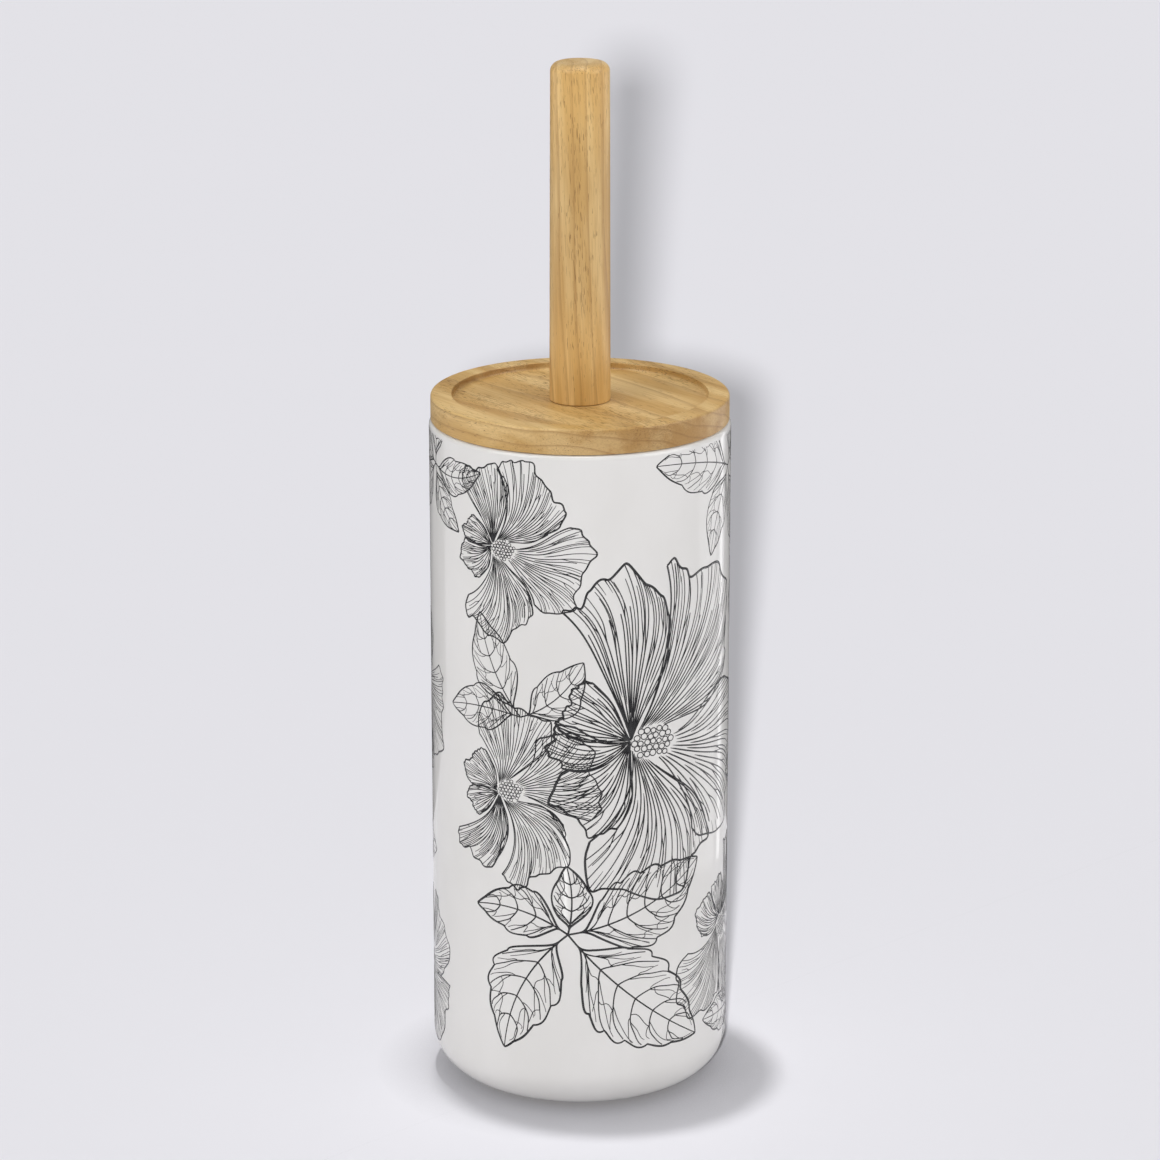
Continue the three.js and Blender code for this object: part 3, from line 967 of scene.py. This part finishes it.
# %% Rubber and plastic
def moulded(name, colour, worn, rough, grain_scale, grain_depth, **constants):
    """Moulded rubber or plastic: a skin of fine grain over a slow unevenness of colour."""
    material, tree, shader = new_material(name, **constants)
    slow = noise(placed(tree), 90, 3)
    grain = noise(placed(tree), grain_scale, 3, 0.6)
    wire(
        shader,
        Base_Color=blended(spread(slow, 0.3, 0.7), colour, worn),
        Roughness=spread(grain, 0.3, 0.7, rough - 0.06, rough + 0.06),
        Normal=bumped(grain, grain_depth, 0.6),
    )
    return material


SEAL_BLACK = (0.018, 0.018, 0.019), (0.032, 0.032, 0.033)
CORE_WHITE = (0.80, 0.80, 0.775), (0.76, 0.76, 0.73)
PAD_GREY = (0.42, 0.42, 0.41), (0.33, 0.33, 0.32)
seal_rubber = moulded("seal_rubber", *SEAL_BLACK, 0.62, 4200, 0.03 * MM)
core_plastic = moulded("core_plastic", *CORE_WHITE, 0.34, 2600, 0.015 * MM, IOR=1.49)
pad_foam = moulded("pad_foam", *PAD_GREY, 0.82, 2300, 0.12 * MM)

# %% [markdown]
# The core's neck runs into the skirt in one wide curve, as moulded plastic does. Its bore is blind.

# %% Seal and core
SEAL_BORE = 4.6 * MM
turned_ring("head_seal", SEAL_BORE, 0.35 * MM, seal_rubber, "seal_rubber", body="seal", steps=64)

BORE = 4.3 * MM
BORE_DEPTH = 14 * MM
BARREL_RADIUS = 11 * MM
BARREL_END_ROUND = 3 * MM
NECK_RADIUS = 8.6 * MM
NECK_HEIGHT = 6 * MM
SKIRT_DROP = 7 * MM
SKIRT_THICKNESS = 2 * MM
head_low, head_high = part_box("brush_core")
neck_foot = head_high.z - NECK_HEIGHT
skirt_foot = neck_foot - SKIRT_DROP
core_outline = [
    (0, head_low.z, 0),
    (BARREL_RADIUS, head_low.z, BARREL_END_ROUND),
    (BARREL_RADIUS, skirt_foot, 0.8 * MM),
    (head_high.x, skirt_foot, 0.6 * MM),
    (head_high.x, skirt_foot + SKIRT_THICKNESS, 0.7 * MM),
    (NECK_RADIUS, neck_foot - 1 * MM, 6.5 * MM),
    (NECK_RADIUS, head_high.z, 0.8 * MM),
    (BORE, head_high.z, 0.4 * MM),
    (BORE, head_high.z - BORE_DEPTH, 0.5 * MM),
    (0, head_high.z - BORE_DEPTH, 0),
]
core = turned("moulded_core", core_outline, core_plastic)
finish_piece(core, "brush_head", "core_plastic", "brush_core")

# %% [markdown]
# The four soft pads under the foot ring are punched discs, so a short bevelled cylinder will do.

# %% Foot pads
PAD_EDGE = 0.3 * MM
for number in range(1, 5):
    low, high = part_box(f"foot_pad_{number}")
    radius = (high.x - low.x) / 2
    bm = bmesh.new()
    bmesh.ops.create_cone(
        bm, cap_ends=True, segments=48, radius1=radius, radius2=radius, depth=high.z - low.z,
        matrix=Matrix.Translation((low + high) / 2),
    )
    rims = [e for e in bm.edges if abs(e.verts[0].co.z - e.verts[1].co.z) < 0.1 * MM]
    bmesh.ops.bevel(
        bm, geom=rims, offset=PAD_EDGE, segments=3, affect="EDGES", profile=0.5, material=-1
    )
    pad = object_from(bm, f"soft_pad_{number}", pad_foam)
    finish_piece(pad, "holder", "soft_pad", f"foot_pad_{number}")

# %% [markdown]
# ## Bristles
#
# Nylon monofilament is stapled into the barrel in small tufts, then trimmed to one length. A tuft
# modelled as a cone reads as a peg, so each filament is a thin tube of its own, with four sides.
# Filaments leave the hole packed like seeds in a sunflower, spread towards their tips and bend a
# little, each its own way.

# %% Nylon
FRESH_NYLON, DULL_NYLON = (0.93, 0.93, 0.91), (0.86, 0.86, 0.83)
nylon, tree, shader = new_material(
    "white_nylon", IOR=1.53, Subsurface_Weight=0.12, Subsurface_Scale=0.5 * MM
)
shader.inputs["Subsurface Radius"].default_value = (1.0, 0.95, 0.85)
strand = noise(placed(tree), 900, 2)
wire(
    shader,
    Base_Color=blended(spread(strand, 0.3, 0.7), FRESH_NYLON, DULL_NYLON),
    Roughness=spread(strand, 0.3, 0.7, 0.34, 0.5),
)

# %% Tufts
FILAMENTS = 42
FILAMENT_RADIUS = 0.17 * MM
ROOT_SPREAD, TIP_SPREAD = 1.3 * MM, 2.8 * MM
GOLDEN_ANGLE = pi * (3 - sqrt(5))
rng = random.Random(41)


def tuft(start, direction, length):
    """Filaments from one hole: rows (x, y, z, radius) from root to tip."""
    side = direction.cross(Vector((0.3, 0.2, 1))).normalized()
    up = direction.cross(side)
    along = np.linspace(0, 1, 5)
    runs = []
    for k in range(FILAMENTS):
        angle = k * GOLDEN_ANGLE + rng.uniform(-0.25, 0.25)
        place = Vector((cos(angle), sin(angle))) * sqrt((k + 0.5) / FILAMENTS)
        root, tip = place * ROOT_SPREAD, place * TIP_SPREAD
        bend = Vector((rng.uniform(-1, 1), rng.uniform(-1, 1))) * 0.5 * MM
        reach = length * rng.uniform(0.985, 1.0)
        points = []
        for t in along:
            offset = root.lerp(tip, t**1.25) + bend * sin(pi * t)
            point = start + direction * reach * t + side * offset.x + up * offset.y
            points.append((*point, FILAMENT_RADIUS))
        runs.append(np.array(points))
    return runs


def tuft_piece(node, runs):
    piece = object_of(tubes("tufts_" + node, runs), "tufts_" + node, nylon)
    finish_piece(piece, "brush_head", "bristle_nylon", node)


# %% [markdown]
# The tufts stand in nine rings of twelve, and each ring is turned by half a hole against the next,
# so no gap runs down the brush. Six more lean outwards round one in the middle and cover the end.

# %% Rows
ROWS = 9
TUFTS_A_ROW = 12
TIP_RADIUS = 37 * MM
ROOT_DEPTH = 1 * MM
for row in range(1, ROWS + 1):
    node = f"bristle_row_{row:02d}"
    low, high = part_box(node)
    runs = []
    for k in range(TUFTS_A_ROW):
        angle = (k + (row % 2) / 2) * TAU / TUFTS_A_ROW
        out = Vector((cos(angle), sin(angle), 0))
        start = out * (BARREL_RADIUS - ROOT_DEPTH) + Vector((0, 0, (low.z + high.z) / 2))
        runs += tuft(start, out, TIP_RADIUS - BARREL_RADIUS + ROOT_DEPTH)
    tuft_piece(node, runs)

# %% Fan at the end
FAN_TUFTS = 6
FAN_CIRCLE = 5.4 * MM
FAN_LEAN = 0.42
fan_top = head_low.z + ROOT_DEPTH
fan_drop = fan_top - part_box("bristle_end")[0].z - TIP_SPREAD * sin(FAN_LEAN)
fan_length = fan_drop / cos(FAN_LEAN)
runs = tuft(Vector((0, 0, fan_top)), Vector((0, 0, -1)), fan_drop)
for k in range(FAN_TUFTS):
    angle = k * TAU / FAN_TUFTS
    out = Vector((cos(angle), sin(angle), 0))
    lean = out * sin(FAN_LEAN) + Vector((0, 0, -cos(FAN_LEAN)))
    runs += tuft(out * FAN_CIRCLE + Vector((0, 0, fan_top)), lean, fan_length)
tuft_piece("bristle_end", runs)

# %% [markdown]
# ## The studio
#
# A catalogue studio has a pale floor without an edge, even light on it, and large soft sources for
# the object. Lit by the same lamps, the floor would fall off into grey at the back. So the lamps
# are sorted by light linking: the sky dome lights everything, the softboxes light only the object,
# and two lamps light only the floor. The one beside the camera draws the soft shadow that shows
# along the right side of the set, and the high one keeps that shadow pale. The floor's colour is
# also painted darker round the foot, a painted contact shadow where hardly any light gets in.

# %% Floor and sky
FLOOR_COLOUR = (0.800, 0.793, 0.834)
FLOOR_SIZE = 60
SKY = 0.13
FRONT_SHARE = 0.43
FLOOR_LEVEL = 0.958
CONTACT_REACH = 24 * MM
CONTACT_SHADE = 0.48

bpy.context.scene.view_settings.view_transform = "Standard"
floor_material, tree, shader = new_material("studio_floor", Roughness=1.0, Specular_IOR_Level=0.0)
# Painted contact shadow: the floor's colour is painted darker where the foot is close by.
painted_contact_shadow = tuple(CONTACT_SHADE * c for c in FLOOR_COLOUR)
open_share = add_node(tree, "AmbientOcclusion", {"Distance": CONTACT_REACH}, samples=4).outputs["AO"]
lit = spread(open_share, 0.15, 0.95, kind="LINEAR")
wire(shader, Base_Color=blended(lit, painted_contact_shadow, FLOOR_COLOUR))
bm = bmesh.new()
bmesh.ops.create_grid(bm, x_segments=1, y_segments=1, size=FLOOR_SIZE)
floor = object_from(bm, "studio_floor", floor_material)

world = bpy.data.worlds.new("studio")
bpy.context.scene.world = world
world.use_nodes = True
tree = world.node_tree
seen = add_node(tree, "LightPath").outputs["Is Camera Ray"]
backdrop = tuple(FLOOR_LEVEL * c for c in FLOOR_COLOUR)
sky_colour = blended(seen, (SKY, SKY, SKY), backdrop)
tree.links.new(sky_colour, tree.nodes["Background"].inputs["Color"])
print("the floor and the backdrop meet at", [round(c, 3) for c in backdrop])

# %% [markdown]
# Of the six softboxes the one behind, the one below floor level, which brightens the rounded foot,
# and the small one in front don't show in reflections, or the glaze would be full of patches.

# %% Lamps
def lamp(name, kind, azimuth, elevation, distance=1.5, target=CAMERA_TARGET, **settings):
    """A light on an arc round the target; azimuth 0 is the camera's side, + is to its right."""
    data = bpy.data.lights.new(name, kind)
    for key, value in settings.items():
        setattr(data, key, value)
    new = add_object(name, data)
    a, e = radians(azimuth), radians(elevation)
    arm = Vector((sin(a) * cos(e), -cos(a) * cos(e), sin(e)))
    new.location = target + distance * arm
    new.rotation_euler = (-arm).to_track_quat("-Z", "Y").to_euler()
    new.visible_camera = False
    return new


def panel(name, azimuth, elevation, distance, width, height, watts, target=CAMERA_TARGET):
    """A rectangular softbox that faces the target."""
    size = {"shape": "RECTANGLE", "size": width, "size_y": height}
    return lamp(name, "AREA", azimuth, elevation, distance, target, energy=watts, **size)


def lights_floor(light, only):
    """Links the light to the floor alone, or to everything but the floor."""
    linked = bpy.data.collections.new(light.name + "_linking")
    light.light_linking.receiver_collection = linked
    linked.objects.link(floor)
    linked.collection_objects[0].light_linking.link_state = "INCLUDE" if only else "EXCLUDE"
    if not only:
        light.light_linking.blocker_collection = linked


UNIT_WATTS = 4 * pi**2  # gives a white floor a radiance of one


def floor_lamp(name, azimuth, elevation, level, radius):
    """A point lamp that lights the floor alone, equally far and near, at a given radiance."""
    size = {"energy": UNIT_WATTS, "shadow_soft_size": radius}
    new = lamp(name, "POINT", azimuth, elevation, CAMERA_DISTANCE, **size)
    new.rotation_euler = (0, 0, 0)
    new.data.use_nodes = True
    tree = new.data.node_tree
    direction = add_node(tree, "TexCoord").outputs["Normal"]
    down = combine("ABSOLUTE", add_node(tree, "SeparateXYZ", {0: direction}).outputs["Z"])
    lift = combine("DIVIDE", level, combine("MAXIMUM", down, 0.05))
    steady = add_node(tree, "LightFalloff", {"Strength": lift}).outputs["Constant"]
    tree.links.new(steady, tree.nodes["Emission"].inputs["Strength"])
    lights_floor(new, only=True)


# %% Place the lamps
floor_lamp("front_floor_lamp", -1.15, 16.5, FRONT_SHARE, 0.021)
floor_lamp("high_floor_lamp", -130, 87, FLOOR_LEVEL - SKY - FRONT_SHARE, 0.035)

SOFTBOXES = [
    # name, azimuth, elevation, distance, width, height, watts
    ("key", -58, 40, 2.2, 1.4, 1.4, 17.5),
    ("fill", 74, 28, 2.4, 1.6, 1.6, 23),
    ("overhead", -20, 82, 2.0, 1.2, 1.2, 14.5),
    ("back", 172, 30, 2.4, 1.6, 1.2, 16),
    ("low", -6, -14, 2.0, 1.4, 0.5, 6.5),
    ("front", -10, 32, 2.0, 1.0, 0.5, 3),
]
for name, *placing in SOFTBOXES:
    softbox = panel(name, *placing)
    softbox.visible_glossy = name in ("key", "fill", "overhead")
    lights_floor(softbox, only=False)
print(len(SOFTBOXES), "softboxes and two floor lamps")

# %% [markdown]
# A glossy round pot shows its surroundings squeezed into thin lines near its two edges. Slim
# upright strips behind it on either side, and a wide dim one at its right, draw the bright lines
# there. A dark flag behind it keeps the last few millimetres darker, so that white stays apart
# from a white ground, and a small strip low in front gives a short glint. All are seen only in
# reflections and light nothing.

# %% Strips and flag
STRIP_HEIGHT = 0.55
STRIP_DISTANCE = 0.24
FLAG_LEFT, FLAG_RIGHT = -0.40, 0.22
FLAG_GREY = (0.15, 0.15, 0.15, 1)
STRIPS = [
    # name, azimuth, distance, height of its middle, width, height, radiance
    ("strip_left", -139, STRIP_DISTANCE, STRIP_HEIGHT / 2, 0.026, STRIP_HEIGHT, 0.12),
    ("strip_right", 127, STRIP_DISTANCE, STRIP_HEIGHT / 2, 0.026, STRIP_HEIGHT, 1.3),
    ("strip_side", 106, STRIP_DISTANCE, STRIP_HEIGHT / 2, 0.10, STRIP_HEIGHT, 0.5),
    ("glint", -10, 0.18, 0.036, 0.008, 0.036, 6.0),
]


def reflected_only(thing):
    thing.visible_camera = thing.visible_diffuse = thing.visible_transmission = False
    thing.visible_shadow = thing.visible_volume_scatter = False


for name, azimuth, distance, middle, width, height, radiance in STRIPS:
    watts = radiance * width * height * pi
    reflected_only(panel(name, azimuth, 0, distance, width, height, watts, Vector((0, 0, middle))))

flag_material, _, shader = new_material("flag_cloth", Roughness=1.0, Specular_IOR_Level=0.0)
shader.inputs["Base Color"].default_value = FLAG_GREY
corners = [(FLAG_LEFT, 0), (FLAG_RIGHT, 0), (FLAG_RIGHT, STRIP_HEIGHT), (FLAG_LEFT, STRIP_HEIGHT)]
bm = bmesh.new()
bm.faces.new([bm.verts.new((x, STRIP_DISTANCE, z)) for x, z in corners])
flag = object_from(bm, "flag", flag_material)
reflected_only(flag)
print(len(STRIPS), "strips and a flag")
